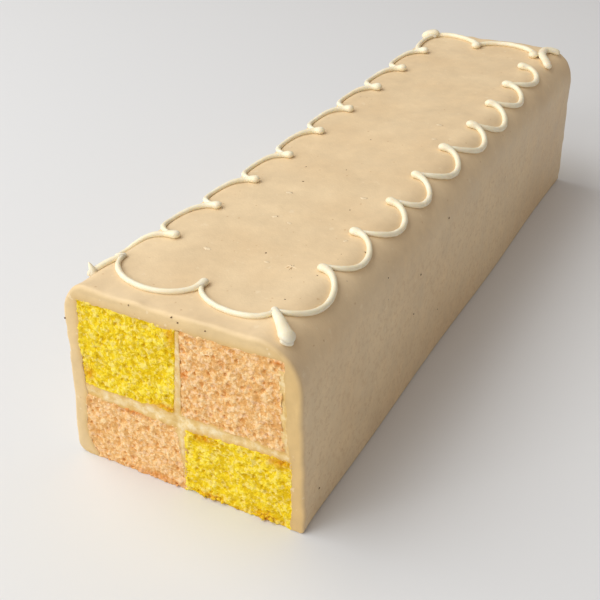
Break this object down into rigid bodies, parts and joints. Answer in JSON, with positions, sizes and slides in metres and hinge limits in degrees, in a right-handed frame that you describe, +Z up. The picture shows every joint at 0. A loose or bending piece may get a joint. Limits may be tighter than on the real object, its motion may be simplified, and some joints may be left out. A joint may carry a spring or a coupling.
{
  "type": "battenberg cake",
  "caption": "Whole battenberg loaf cake cut at one end: yellow and pink sponge bars in a checker, buttercream seams, marzipan coat and a piped icing border",
  "frame": {"origin": "middle of the cake's bounding box, on the underside", "axes": "+Z up, Y along the cake with the cut end shown in the picture towards -Y, X across it"},
  "size_m": [0.0738, 0.254, 0.0627],
  "materials": {
    "marzipan": "smooth rolled almond marzipan with a faint sheen and small dark specks",
    "yellow_sponge": "open matte sponge crumb, lemon yellow",
    "pink_sponge": "open matte sponge crumb, faded pink",
    "buttercream": "soft pale buttercream spread with a knife",
    "icing": "ivory piped icing, soft satin"
  },
  "bodies": {
    "root": {"marzipan_coat": "marzipan", "sponge_yellow_upper": "yellow_sponge", "sponge_pink_upper": "pink_sponge", "sponge_pink_lower": "pink_sponge", "sponge_yellow_lower": "yellow_sponge", "buttercream_filling": "buttercream", "icing_border": "icing", "icing_corner_hook": "icing"}
  },
  "joints": []
}
